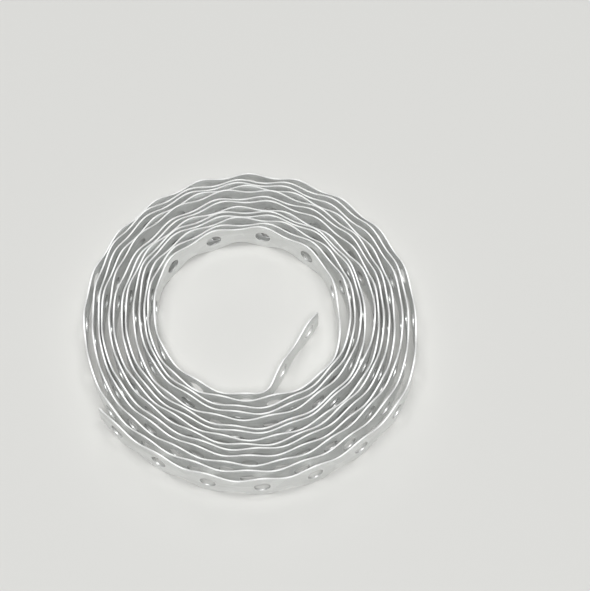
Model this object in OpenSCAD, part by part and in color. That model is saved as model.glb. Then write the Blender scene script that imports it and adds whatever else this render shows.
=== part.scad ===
// Loose flat coil of wavy galvanised steel band with a round hole in every lobe.
// The coil lies flat: its axis is Z, and Z = 0 is the floor that it rests on.
// +X is right and +Y is back; the free inner end stands in the front of the bore.

/* [Band] */
// Width of the band across a lobe
strap_w = 12; // [10:0.5:16]
// Width of the band at a neck, half way between two holes
neck_w = 7.6; // [6.8:0.1:9.4]
// Thickness of the band
strap_t = 0.6; // [0.5:0.1:1]
// Diameter of the round hole in each lobe
hole_d = 5.2; // [4:0.1:5.2]
// Distance from one hole to the next along the band
hole_pitch = 17.4; // [17:0.2:20]

/* [Coil] */
// Radius of the bore at its left side, to the middle of the band
bore_r = 30.98; // [28:0.02:40]
// Whole turns from the place where the inner end leaves the coil
turns = 13; // [8:1:13]
// Angle that the outer end runs on past the last whole turn
end_angle = 62; // [20:1:80]
// Least clear gap between neighbouring turns
least_gap = 0.4; // [0.3:0.1:1]
// Extra gap where the coil has sprung open the most
spring_gap = 3.2; // [2:0.1:4]

/* [Free inner end] */
// Direction of the root seen from the coil's axis, where 270 is the front
root_angle = 272; // [260:1:280]
// Angle that the inner end turns away from the first turn
root_bend = 58.5; // [50:0.5:70]
// Angle that it bends back along its length, to a slight S
straighten = 8; // [0:1:12]
// Distance from its cut edge to the middle of its first hole
end_margin = 5.7; // [4:0.1:8]

/* [Hidden] */

// The band is flat between bends, and every third flat has a hole in its middle
flats_per_pitch = 3;
flat_len = hole_pitch / flats_per_pitch;
whole_turn = 360;
front = 270;
half_w = strap_w / 2;
scallop = (strap_w - neck_w) / 2;
// How far cutting shapes overrun the band's faces and edges
past = 0.1;
above = 1;

// Radius of the first turn as shares of bore_r, at eight places round the coil:
// front, front left, left, back left, back, back right, right and front right
first_turn_shares = [1.00, 0.985, 1.00, 1.075, 1.068, 1.02, 0.975, 1.085];
// How far each turn has sprung from the next at those places, as shares of spring_gap
spring_shares = [
    [0.20, 0.55, 0.40, 0.25, 0.13, 0.50, 0.95, 0.00],
    [0.60, 0.15, 0.00, 0.20, 0.40, 0.30, 0.15, 0.25],
    [0.35, 0.15, 0.20, 0.40, 0.05, 0.30, 0.30, 0.25],
    [0.30, 0.75, 0.30, 0.10, 0.20, 0.00, 0.05, 0.65],
    [0.70, 0.10, 0.55, 0.05, 0.15, 0.00, 0.80, 0.00],
    [0.15, 0.30, 0.10, 0.05, 0.60, 0.60, 0.05, 0.65],
    [0.45, 0.20, 0.55, 0.15, 0.10, 0.40, 0.20, 0.05],
    [0.35, 0.30, 0.10, 0.80, 0.65, 0.20, 0.25, 0.40],
    [0.15, 0.45, 0.50, 0.00, 0.10, 0.15, 0.20, 0.45],
    [0.45, 0.30, 0.00, 0.45, 0.10, 0.30, 0.55, 0.20],
    [0.55, 0.55, 0.30, 0.30, 0.05, 0.45, 0.25, 0.70],
    [0.45, 0.50, 0.55, 0.00, 0.45, 0.20, 0.40, 0.80],
    [0.65, 0.45, 1.50, 0.90, 0.90, 0.90, 0.90, 0.90]
];
places = len(first_turn_shares);
place_angle = whole_turn / places;

// Radius of the band's middle at a place, numbered outwards along the band from its root
function place_r(n) =
    n < places ? bore_r * first_turn_shares[n]
    : place_r(n - places) + strap_t + least_gap
        + spring_gap * spring_shares[floor(n / places) - 1][n % places];
function ease(t) = (1 - cos(t * whole_turn / 2)) / 2;
// Radius at a winding angle, eased from each place to the next
function coil_r(s) =
    let (n = floor(s / place_angle), t = ease(s / place_angle - n))
    place_r(n) * (1 - t) + place_r(n + 1) * t;
function coil_point(s) =
    let (a = root_angle - s, r = coil_r(s)) [r * cos(a), r * sin(a)];
// Winding angle one flat further along the coil
function next_s(s) = s + flat_len / coil_r(s) * whole_turn / (2 * PI);

coil_end = turns * whole_turn + end_angle;
coil_points = [for (s = 0; s <= coil_end; s = next_s(s)) coil_point(s)];

// The free inner end, walked inwards from the root: short flats round the bend,
// whole flats to its first hole, and a stub past it
bend_flats = flats_per_pitch;
tail_whole_flats = 2 * flats_per_pitch - 1;
tail_flats = bend_flats + tail_whole_flats + 1;
function tail_step(i) =
    i <= bend_flats ? flat_len / bend_flats
    : i < tail_flats ? flat_len
    : end_margin - flat_len / 2;
function tail_heading(i) =
    root_angle - front + root_bend * min(1, i / (bend_flats + 1))
    - straighten * max(0, i - bend_flats - 1) / tail_whole_flats;
function tail_point(i) =
    i == 0 ? coil_points[0]
    : tail_point(i - 1) + tail_step(i) * [cos(tail_heading(i)), sin(tail_heading(i))];

walked = concat([for (i = [tail_flats:-1:1]) tail_point(i)], coil_points);
// Where the neck lies that follows the hole in flat i
function neck_after(i) = i + flats_per_pitch - 1;
hole_flats = concat([1, 1 + flats_per_pitch],
                    [for (i = [tail_flats:flats_per_pitch:len(walked) - 3]) i]);
// The outer end is cut at the neck after its last hole
last = neck_after(hole_flats[len(hole_flats) - 1]);
path = [for (i = [0:last]) walked[i]];

function unit(v) = v / norm(v);
function left_of(v) = [-v[1], v[0]];
function way(i) = unit(path[i + 1] - path[i]);
function way_at(i) = unit(way(max(i - 1, 0)) + way(min(i, last - 1)));
// Point i of the path moved sideways, so that each flat keeps an even thickness
function side_point(i, dist) =
    let (n = left_of(way_at(i))) path[i] + n * dist / (n * left_of(way(min(i, last - 1))));

// Middle of the coil's box seen from above, which is moved to the origin
edge_points = [for (i = [0:last]) for (side = [-1, 1]) side_point(i, side * strap_t / 2)];
function middle(values) = (min(values) + max(values)) / 2;
box_middle = [middle([for (p = edge_points) p[0]]), middle([for (p = edge_points) p[1]])];

module band_plan(first, final, half) {
    polygon(concat(
        [for (i = [first:final]) side_point(i, half)],
        [for (i = [final:-1:first]) side_point(i, -half)]
    ));
}

// Stands a flat drawing upright: its x runs along the band, its y is height
module upright(p, d) {
    translate([p[0], p[1], half_w])
        rotate([0, 0, atan2(d[1], d[0])]) rotate([90, 0, 0]) children();
}

module hole_cutters() {
    for (i = hole_flats)
        upright((path[i] + path[i + 1]) / 2, way(i))
            cylinder(h = strap_t + 2 * past, d = hole_d, center = true, $fn = 32);
}

// What the wave takes from the upper edge at a neck: its slopes run on past the edge
neck_flat = hole_pitch / 6;
lobe_flat = hole_pitch / 6;
slope_run = (hole_pitch - neck_flat - lobe_flat) / 2;
mouth = neck_flat / 2 + slope_run * (scallop + above) / scallop;
module neck_outline() {
    polygon([
        [-mouth, half_w + above], [-neck_flat / 2, half_w - scallop],
        [neck_flat / 2, half_w - scallop], [mouth, half_w + above]
    ]);
}

// The same from the neck's middle on, for a cut end
module half_neck_outline() {
    polygon([
        [-past, half_w + above], [-past, half_w - scallop],
        [neck_flat / 2, half_w - scallop], [mouth, half_w + above]
    ]);
}

// Cuts both edges alike at the neck whose middle is p, where the band runs along d
module at_neck(p, d, depth) {
    upright(p, d) linear_extrude(depth, center = true) {
        children();
        mirror([0, 1]) children();
    }
}

// What is cut between hole k and the one before it, kept within the band's own turn
module neck_cutter(k) {
    first = hole_flats[k - 1];
    final = hole_flats[k] + 1;
    neck = neck_after(first);
    intersection() {
        translate([0, 0, -above]) linear_extrude(strap_w + 2 * above)
            band_plan(first, final, strap_t / 2 + past);
        at_neck(path[neck], way_at(neck), strap_w) neck_outline();
    }
}

// The half necks at the two cut ends, where no other turn is near
end_cut = 4 * strap_t;
module end_cutters() {
    first_hole = (path[1] + path[2]) / 2;
    at_neck(first_hole - way(1) * hole_pitch / 2, way(1), end_cut) half_neck_outline();
    at_neck(path[last], -way(last - 1), end_cut) half_neck_outline();
}

module strap() {
    color([0.72, 0.73, 0.73])
        translate([-box_middle[0], -box_middle[1], 0]) difference() {
            linear_extrude(strap_w) band_plan(0, last, strap_t / 2);
            hole_cutters();
            end_cutters();
            for (k = [1:len(hole_flats) - 1]) neck_cutter(k);
        }
}

strap();
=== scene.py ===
"""A loose flat coil of wavy perforated galvanised steel band, on a plain pale floor."""

import math

import bmesh
import bpy
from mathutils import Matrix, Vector


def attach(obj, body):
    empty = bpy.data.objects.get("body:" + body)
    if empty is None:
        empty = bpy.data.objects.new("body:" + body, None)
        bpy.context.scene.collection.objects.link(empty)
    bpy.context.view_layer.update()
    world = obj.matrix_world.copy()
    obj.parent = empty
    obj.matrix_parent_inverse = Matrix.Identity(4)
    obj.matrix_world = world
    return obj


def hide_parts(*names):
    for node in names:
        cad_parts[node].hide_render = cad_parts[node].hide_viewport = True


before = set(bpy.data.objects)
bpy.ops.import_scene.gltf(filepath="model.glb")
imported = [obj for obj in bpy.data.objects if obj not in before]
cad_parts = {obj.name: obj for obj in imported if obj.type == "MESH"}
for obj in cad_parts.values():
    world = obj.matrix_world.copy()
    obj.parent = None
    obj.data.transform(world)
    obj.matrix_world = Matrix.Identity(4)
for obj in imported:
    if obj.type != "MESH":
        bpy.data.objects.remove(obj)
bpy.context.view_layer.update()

MM = 0.001

# The band
BAND_WIDTH = 12 * MM
NECK_WIDTH = 7.6 * MM
THICKNESS = 0.6 * MM
HOLE_D = 5.2 * MM
HOLE_PITCH = 17.4 * MM

# The coil: its first turn, and how each turn has sprung from the next, at eight places round it
BORE_R = 30.98 * MM
TURNS = 13
END_ANGLE = 62
LEAST_GAP = 0.4 * MM
SPRING_GAP = 3.2 * MM
FIRST_TURN_SHARES = [1.00, 0.985, 1.00, 1.075, 1.068, 1.02, 0.975, 1.085]
SPRING_SHARES = [
    [0.20, 0.55, 0.40, 0.25, 0.13, 0.50, 0.95, 0.00],
    [0.60, 0.15, 0.00, 0.20, 0.40, 0.30, 0.15, 0.25],
    [0.35, 0.15, 0.20, 0.40, 0.05, 0.30, 0.30, 0.25],
    [0.30, 0.75, 0.30, 0.10, 0.20, 0.00, 0.05, 0.65],
    [0.70, 0.10, 0.55, 0.05, 0.15, 0.00, 0.80, 0.00],
    [0.15, 0.30, 0.10, 0.05, 0.60, 0.60, 0.05, 0.65],
    [0.45, 0.20, 0.55, 0.15, 0.10, 0.40, 0.20, 0.05],
    [0.35, 0.30, 0.10, 0.80, 0.65, 0.20, 0.25, 0.40],
    [0.15, 0.45, 0.50, 0.00, 0.10, 0.15, 0.20, 0.45],
    [0.45, 0.30, 0.00, 0.45, 0.10, 0.30, 0.55, 0.20],
    [0.55, 0.55, 0.30, 0.30, 0.05, 0.45, 0.25, 0.70],
    [0.45, 0.50, 0.55, 0.00, 0.45, 0.20, 0.40, 0.80],
    [0.65, 0.45, 1.50, 0.90, 0.90, 0.90, 0.90, 0.90],
]
WHOLE_TURN = 360
PLACE_ANGLE = WHOLE_TURN / len(FIRST_TURN_SHARES)

# The free inner end, which leaves the front of the coil and stands in its bore
ROOT_ANGLE = 272
FRONT = 270
ROOT_BEND = 58.5
STRAIGHTEN = 8
END_MARGIN = 5.7 * MM
TAIL_HOLES = 2

# The band's course is walked in thirds of a pitch, and more finely round the root's bend
STEPS_PER_PITCH = 3
STEP = HOLE_PITCH / STEPS_PER_PITCH
BEND_STEPS = STEPS_PER_PITCH
TAIL_STEPS = TAIL_HOLES * STEPS_PER_PITCH - 1

# How finely one pitch of the band is meshed, and how far out its ring of faces lies
RIM_STEPS = 32
SIDE_STEPS = 4
RING_SHARE = 0.42
EDGE_BREAK = 0.07 * MM
EDGE_BREAK_STEPS = 1
SHARP_ANGLE = math.radians(40)
MERGE = 0.001 * MM

# Sizes of the finishes' patterns, along and across the band
SPANGLE = (4 * MM, 3 * MM)
BLOOM = (26 * MM, 9 * MM)
# Roll lines are some 0.02 mm apart, and are drawn 0.3 mm apart so that they show
ROLL_LINES = (30 * MM, 0.3 * MM)
ROLL_LINE_DEPTH = 0.03 * MM
# Shear marks are some 0.05 mm apart, and are drawn 0.5 mm apart so that they show
SHEAR_MARKS = (0.5 * MM, 0.5 * MM)

# How far the spangle's edges are feathered
FEATHER = 0.12
# What lies within this distance of the band's middle line is a punched rim, not a slit edge
RIM_REACH = (HOLE_D + NECK_WIDTH) / 4
SLIT_ROUGHER = 0.26

# Tones of the finishes and of the studio
ZINC_DARKER = "#E7E8E7"
ZINC_PALER = "#F1F2F1"
BLOOM_TONE = "#DDDEDC"
RUBBED_TONE = "#F4F5F4"
CUT_DARKER = "#C4C5C4"
CUT_PALER = "#D8D9D8"
FLOOR_TONE = "#D0D0CD"
TENT_TONE = "#FDFDFC"
WHITE = "#FFFFFF"

# Sockets of a Mix node: its factor, its two vectors or colours, and what comes of them
FACTOR = 0
VECTOR_A, VECTOR_B = 4, 5
COLOUR_A, COLOUR_B = 6, 7
MIXED_VECTOR, MIXED_COLOUR = 1, 2

# The studio: half the floor's side in metres, and how bright the floor and the tent are
FLOOR_REACH = 3
FLOOR_GLOW = 0.06
TENT_FILL = 0.12
TENT_SEEN = 1.0

# The softboxes: name, place and side in metres, and power in watts
SOFTBOXES = [
    ("key_softbox", (0.0, -1.4, 2.65), 0.9, 43),
    ("left_softbox", (-0.75, 0.15, 2.9), 1.0, 19),
    ("right_softbox", (0.75, 0.15, 2.9), 1.0, 19),
    ("back_softbox", (0.0, 2.1, 2.1), 1.3, 11),
]

# The camera looks down steeply from the front, and turns with the coil's place in its frame
LENS = 97.1
SENSOR = 36
NEAREST_SEEN = 0.01
CAMERA_PLACE = Vector((-0.35, -258.02, 472.99)) * MM
CAMERA_TILT = math.radians(30)
CAMERA_TURN = math.radians(-3.4)


def place_radii():
    """Radius of the band's middle at the eight places of each turn, outwards along the band."""
    radii = [BORE_R * share for share in FIRST_TURN_SHARES]
    for row in SPRING_SHARES:
        for share in row:
            radii.append(radii[-len(row)] + THICKNESS + LEAST_GAP + SPRING_GAP * share)
    return radii


def coil_radius(radii, angle):
    """Radius at a winding angle, eased from each place to the next."""
    place = int(angle // PLACE_ANGLE)
    ease = (1 - math.cos(math.pi * (angle / PLACE_ANGLE - place))) / 2
    return radii[place] * (1 - ease) + radii[place + 1] * ease


def polar(radius, degrees):
    """The point at a radius and an angle."""
    return Vector((math.cos(math.radians(degrees)), math.sin(math.radians(degrees)))) * radius


def coil_course():
    """(distance from the root, point) at each step of the wound part."""
    radii = place_radii()
    course = []
    angle = 0
    while angle <= TURNS * WHOLE_TURN + END_ANGLE:
        radius = coil_radius(radii, angle)
        course.append((STEP * len(course), polar(radius, ROOT_ANGLE - angle)))
        angle += math.degrees(STEP / radius)
    return course


def tail_course(root):
    """(distance from the root, below zero, and point) from the cut inner edge up to the root."""
    steps = BEND_STEPS + TAIL_STEPS + 1
    course = [(0, root)]
    for i in range(1, steps + 1):
        turned = ROOT_BEND * min(1, i / (BEND_STEPS + 1))
        turned -= STRAIGHTEN * max(0, i - BEND_STEPS - 1) / TAIL_STEPS
        length = STEP
        if i <= BEND_STEPS:
            length = STEP / BEND_STEPS
        elif i == steps:
            length = END_MARGIN - STEP / 2
        distance, point = course[-1]
        course.append((distance - length, point + polar(length, ROOT_ANGLE - FRONT + turned)))
    return course[:0:-1]


def band_course():
    """Points of the whole band with their distances from its inner edge, and its count of holes."""
    coil = coil_course()
    tail = tail_course(coil[0][1])
    coil_holes = len(coil) // STEPS_PER_PITCH
    course = tail + coil[:coil_holes * STEPS_PER_PITCH]
    across = [point.x for distance, point in course]
    back = [point.y for distance, point in course]
    middle = Vector((min(across) + max(across), min(back) + max(back))) / 2
    start = course[0][0]
    return [(d - start, p - middle) for d, p in course], TAIL_HOLES + coil_holes


class SmoothCourse:
    """A smooth curve through the points of the course, by distance along the band."""

    def __init__(self, course):
        self.at = [distance for distance, point in course]
        self.points = [point for distance, point in course]
        self.last = len(course) - 1
        self.slopes = [self.slope(i) for i in range(len(course))]
        # The stretch between two points that was used last
        self.here = 0

    def slope(self, i):
        a, b = max(i - 1, 0), min(i + 1, self.last)
        return (self.points[b] - self.points[a]) / (self.at[b] - self.at[a])

    def place(self, distance):
        while self.here < self.last - 1 and distance > self.at[self.here + 1]:
            self.here += 1
        while self.here > 0 and distance < self.at[self.here]:
            self.here -= 1
        p, q = self.points[self.here:self.here + 2]
        span = self.at[self.here + 1] - self.at[self.here]
        u, v = self.slopes[self.here] * span, self.slopes[self.here + 1] * span
        t = (distance - self.at[self.here]) / span
        near = p * (2 * t**3 - 3 * t**2 + 1) + u * (t**3 - 2 * t**2 + t)
        return near + q * (3 * t**2 - 2 * t**3) + v * (t**3 - t**2)


def half_width(x):
    """Half the band's width at a distance from a hole's middle: a wave, widest at the hole."""
    mean = (BAND_WIDTH + NECK_WIDTH) / 4
    swing = (BAND_WIDTH - NECK_WIDTH) / 4
    return mean + swing * math.cos(2 * math.pi * x / HOLE_PITCH)


def outline_place(spoke):
    """Where a spoke from the hole's middle meets the outline of its pitch of the band.

    Spokes that lean less than the corner one end on a neck's line, and the others on an edge.
    """
    corner = math.pi * SIDE_STEPS / RIM_STEPS
    lean = math.asin(min(1, abs(math.sin(spoke))))
    if lean < corner:
        x, y = HOLE_PITCH / 2, half_width(HOLE_PITCH / 2) * lean / corner
    else:
        x = HOLE_PITCH / 2 * (math.pi / 2 - lean) / (math.pi / 2 - corner)
        y = half_width(x)
    return Vector((math.copysign(x, math.cos(spoke)), math.copysign(y, math.sin(spoke)), 0))


def hole_cell():
    """One pitch of the flat band round its hole: a rim, a ring, and the wavy outline.

    Its layer "rub" is 1 where other turns rub the band, at the hole's rim and the wavy edges.
    """
    cell = bmesh.new()
    spoke = cell.verts.layers.float.new("spoke")
    rub = cell.verts.layers.float.new("rub")
    made = bmesh.ops.create_circle(cell, segments=RIM_STEPS, radius=HOLE_D / 2)["verts"]
    ring = set(made)
    for v in ring:
        v[spoke] = math.atan2(v.co.y, v.co.x)
        v[rub] = 1
    for share in (RING_SHARE, 1):
        edges = [e for e in cell.edges if ring.issuperset(e.verts)]
        grown = bmesh.ops.extrude_edge_only(cell, edges=edges)["geom"]
        ring = {part for part in grown if isinstance(part, bmesh.types.BMVert)}
        for v in ring:
            v.co = v.co.lerp(outline_place(v[spoke]), share)
            v[rub] = abs(v.co.y) > half_width(v.co.x) - MERGE
    mesh = bpy.data.meshes.new("hole_cell")
    cell.to_mesh(mesh)
    cell.free()
    return mesh


def band_mesh():
    """The band: pitches joined in a flat row, cut at the inner end, then wound along the course."""
    course, holes = band_course()
    winding = SmoothCourse(course)
    cell = hole_cell()
    band = bmesh.new()
    for k in range(holes):
        known = len(band.verts)
        band.from_mesh(cell)
        band.verts.ensure_lookup_table()
        shift = Vector((END_MARGIN + k * HOLE_PITCH, 0, 0))
        bmesh.ops.translate(band, verts=band.verts[known:], vec=shift)
    bmesh.ops.remove_doubles(band, verts=band.verts, dist=MERGE)
    whole = band.verts[:] + band.edges[:] + band.faces[:]
    bmesh.ops.bisect_plane(band, geom=whole, plane_co=(0, 0, 0), plane_no=(1, 0, 0), clear_inner=True)
    bmesh.ops.recalc_face_normals(band, faces=band.faces)
    along = band.loops.layers.uv.new("band")
    for face in band.faces:
        face.smooth = True
        for loop in face.loops:
            loop[along].uv = loop.vert.co.xy
    for v in band.verts:
        point = winding.place(v.co.x)
        v.co = (point.x, point.y, v.co.y + BAND_WIDTH / 2)
    mesh = bpy.data.meshes.new("wavy_band")
    band.to_mesh(mesh)
    band.free()
    bpy.data.meshes.remove(cell)
    return mesh


def linear(code):
    """An sRGB hex colour as linear RGBA."""
    parts = [int(code[i:i + 2], 16) / 255 for i in (1, 3, 5)]
    return [c / 12.92 if c <= 0.04045 else ((c + 0.055) / 1.055) ** 2.4 for c in parts] + [1]


def add(tree, kind, inputs, **settings):
    """Adds a node with its settings; an input is a value, or the socket that is linked to it."""
    new = tree.nodes.new("ShaderNode" + kind)
    for name, value in settings.items():
        setattr(new, name, value)
    for name, value in inputs.items():
        if isinstance(value, bpy.types.NodeSocket):
            tree.links.new(value, new.inputs[name])
        else:
            new.inputs[name].default_value = value
    return new


def scale_for(size):
    """The scale that gives a pattern its size along and across the band."""
    along, across = size
    return 1 / along, 1 / across, 1


def material(name):
    """A new material and its empty node tree."""
    made = bpy.data.materials.new(name)
    made.use_nodes = True
    made.node_tree.nodes.clear()
    return made, made.node_tree


def finish_material(tree, shader):
    """Links the last shader to the material's surface."""
    add(tree, "OutputMaterial", {"Surface": shader.outputs[0]})


def galvanised_strip():
    """Hot-dip galvanised strip, rolled: a satin grey zinc coat.

    It shows faint spangle patches a few millimetres wide, lines drawn along the band by the
    rolls, duller bloom here and there, and bright burnished margins where turns have rubbed.
    """
    made, tree = material("galvanised_strip")
    band = add(tree, "UVMap", {}, uv_map="band").outputs["UV"]
    spangle_at = add(tree, "Mapping", {"Vector": band, "Scale": scale_for(SPANGLE)})
    feather = add(tree, "TexNoise", {"Vector": spangle_at.outputs[0], "Scale": 5, "Detail": 3})
    feathered = add(
        tree, "Mix",
        {FACTOR: FEATHER, VECTOR_A: spangle_at.outputs[0], VECTOR_B: feather.outputs["Color"]},
        data_type="VECTOR",
    )
    spangle = add(tree, "TexVoronoi", {"Vector": feathered.outputs[MIXED_VECTOR], "Scale": 1})
    patch = add(tree, "SeparateColor", {"Color": spangle.outputs["Color"]}).outputs["Red"]
    lines_at = add(tree, "Mapping", {"Vector": band, "Scale": scale_for(ROLL_LINES)})
    lines = add(tree, "TexNoise", {"Vector": lines_at.outputs[0], "Scale": 1, "Detail": 3})
    bloom_at = add(tree, "Mapping", {"Vector": band, "Scale": scale_for(BLOOM)})
    bloom = add(tree, "TexNoise", {"Vector": bloom_at.outputs[0], "Scale": 1, "Detail": 4})
    dull = add(tree, "MapRange", {"Value": bloom.outputs[0], "From Min": 0.5, "From Max": 0.72})
    rub = add(tree, "Attribute", {}, attribute_name="rub").outputs["Fac"]
    bright = add(tree, "MapRange", {"Value": rub, "From Min": 0.78, "From Max": 1.0})
    zinc = add(
        tree, "Mix",
        {FACTOR: patch, COLOUR_A: linear(ZINC_DARKER), COLOUR_B: linear(ZINC_PALER)},
        data_type="RGBA",
    )
    bloomed = add(
        tree, "Mix",
        {
            FACTOR: dull.outputs[0], COLOUR_A: zinc.outputs[MIXED_COLOUR],
            COLOUR_B: linear(BLOOM_TONE),
        },
        data_type="RGBA",
    )
    rubbed = add(
        tree, "Mix",
        {
            FACTOR: bright.outputs[0], COLOUR_A: bloomed.outputs[MIXED_COLOUR],
            COLOUR_B: linear(RUBBED_TONE),
        },
        data_type="RGBA",
    )
    streak = add(tree, "MapRange", {
        "Value": lines.outputs[0], "From Min": 0.3, "From Max": 0.7, "To Min": 0.92, "To Max": 1.04,
    })
    rolled = add(
        tree, "Mix",
        {FACTOR: 1.0, COLOUR_A: rubbed.outputs[MIXED_COLOUR], COLOUR_B: streak.outputs[0]},
        data_type="RGBA", blend_type="MULTIPLY",
    )
    satin = add(tree, "MapRange", {"Value": lines.outputs[0], "To Min": 0.34, "To Max": 0.64})
    varied = add(tree, "MapRange", {"Value": patch, "To Min": -0.04, "To Max": 0.04})
    rough = add(tree, "Math", {0: satin.outputs[0], 1: varied.outputs[0]}, operation="ADD")
    bump = add(tree, "Bump", {
        "Height": lines.outputs[0], "Strength": 0.6, "Distance": ROLL_LINE_DEPTH,
    })
    shader = add(tree, "BsdfPrincipled", {
        "Base Color": rolled.outputs[MIXED_COLOUR], "Metallic": 0.45,
        "Roughness": rough.outputs[0], "Normal": bump.outputs[0],
    })
    finish_material(tree, shader)
    return made


def sheared_edge():
    """The slit edges and punched rims: bare bright metal, with fine shear marks.

    The punch burnishes the rims, which glint, and the slitting rolls leave the edges duller.
    """
    made, tree = material("sheared_edge")
    band = add(tree, "UVMap", {}, uv_map="band").outputs["UV"]
    marks_at = add(tree, "Mapping", {"Vector": band, "Scale": scale_for(SHEAR_MARKS)})
    marks = add(tree, "TexNoise", {"Vector": marks_at.outputs[0], "Scale": 1, "Detail": 2})
    tone = add(
        tree, "Mix",
        {FACTOR: marks.outputs[0], COLOUR_A: linear(CUT_DARKER), COLOUR_B: linear(CUT_PALER)},
        data_type="RGBA",
    )
    satin = add(tree, "MapRange", {"Value": marks.outputs[0], "To Min": 0.25, "To Max": 0.38})
    across = add(tree, "SeparateXYZ", {0: band}).outputs["Y"]
    off_middle = add(tree, "Math", {0: across}, operation="ABSOLUTE")
    slit = add(tree, "Math", {0: off_middle.outputs[0], 1: RIM_REACH}, operation="GREATER_THAN")
    rough = add(
        tree, "Math", {0: slit.outputs[0], 1: SLIT_ROUGHER, 2: satin.outputs[0]},
        operation="MULTIPLY_ADD",
    )
    shader = add(tree, "BsdfPrincipled", {
        "Base Color": tone.outputs[MIXED_COLOUR], "Metallic": 0.7, "Roughness": rough.outputs[0],
    })
    finish_material(tree, shader)
    return made


def shown_itself(tree):
    """1 where the camera sees a thing itself, also in a gloss or through glass, and else 0."""
    ray = add(tree, "LightPath", {}).outputs
    direct = add(
        tree, "Math", {0: ray["Is Camera Ray"], 1: ray["Is Glossy Ray"]}, operation="MAXIMUM",
    )
    through = add(
        tree, "Math", {0: direct.outputs[0], 1: ray["Is Transmission Ray"]}, operation="MAXIMUM",
    )
    return through.outputs[0]


def studio_floor():
    """Matt white laminate: even and pale, with the shadow left on it."""
    made, tree = material("studio_floor")
    matt = add(tree, "BsdfPrincipled", {"Base Color": linear(FLOOR_TONE), "Roughness": 0.85})
    glow = add(tree, "Emission", {"Color": linear(WHITE), "Strength": FLOOR_GLOW})
    dark = add(tree, "Emission", {"Strength": 0})
    lift = add(tree, "MixShader", {0: shown_itself(tree), 1: dark.outputs[0], 2: glow.outputs[0]})
    both = add(tree, "AddShader", {0: matt.outputs[0], 1: lift.outputs[0]})
    finish_material(tree, both)
    return made


def place_object(name, data):
    """A new object in the scene, at the origin."""
    made = bpy.data.objects.new(name, data)
    bpy.context.scene.collection.objects.link(made)
    return made


def make_band():
    """The one piece: it gets its thickness and its broken edges here."""
    band = place_object("wavy_band", band_mesh())
    band.data.materials.append(galvanised_strip())
    band.data.materials.append(sheared_edge())
    wall = band.modifiers.new("thickness", "SOLIDIFY")
    wall.thickness = THICKNESS
    wall.offset = 0
    wall.material_offset_rim = 1
    broken = band.modifiers.new("broken_edges", "BEVEL")
    broken.width = EDGE_BREAK
    broken.segments = EDGE_BREAK_STEPS
    broken.angle_limit = SHARP_ANGLE
    broken.material = 1
    broken.harden_normals = True
    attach(band, "root")
    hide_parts("strap")


def make_floor():
    shape = bmesh.new()
    bmesh.ops.create_grid(shape, x_segments=1, y_segments=1, size=FLOOR_REACH)
    mesh = bpy.data.meshes.new("floor")
    shape.to_mesh(mesh)
    shape.free()
    floor = place_object("floor", mesh)
    floor.data.materials.append(studio_floor())


def softbox(name, place, size, power):
    """A square area light that faces the coil."""
    lamp = bpy.data.lights.new(name, "AREA")
    lamp.size = size
    lamp.energy = power
    made = place_object(name, lamp)
    made.location = place
    made.rotation_euler = (-Vector(place)).to_track_quat("-Z", "Y").to_euler()


def make_world():
    """A pale light tent, which fills the shadows a little and is white where it is seen."""
    world = bpy.data.worlds.new("light_tent")
    bpy.context.scene.world = world
    world.use_nodes = True
    tree = world.node_tree
    tree.nodes.clear()
    level = add(tree, "MapRange", {
        "Value": shown_itself(tree), "To Min": TENT_FILL, "To Max": TENT_SEEN,
    })
    tent = add(tree, "Background", {"Color": linear(TENT_TONE), "Strength": level.outputs[0]})
    add(tree, "OutputWorld", {"Surface": tent.outputs[0]})


def make_camera():
    data = bpy.data.cameras.new("camera")
    data.lens = LENS
    data.sensor_width = SENSOR
    data.clip_start = NEAREST_SEEN
    camera = place_object("camera", data)
    camera.location = CAMERA_PLACE
    camera.rotation_euler = (CAMERA_TILT, 0, CAMERA_TURN)
    bpy.context.scene.camera = camera


make_camera()
make_world()
for box in SOFTBOXES:
    softbox(*box)
make_floor()
make_band()
bpy.context.scene.view_settings.view_transform = "Standard"
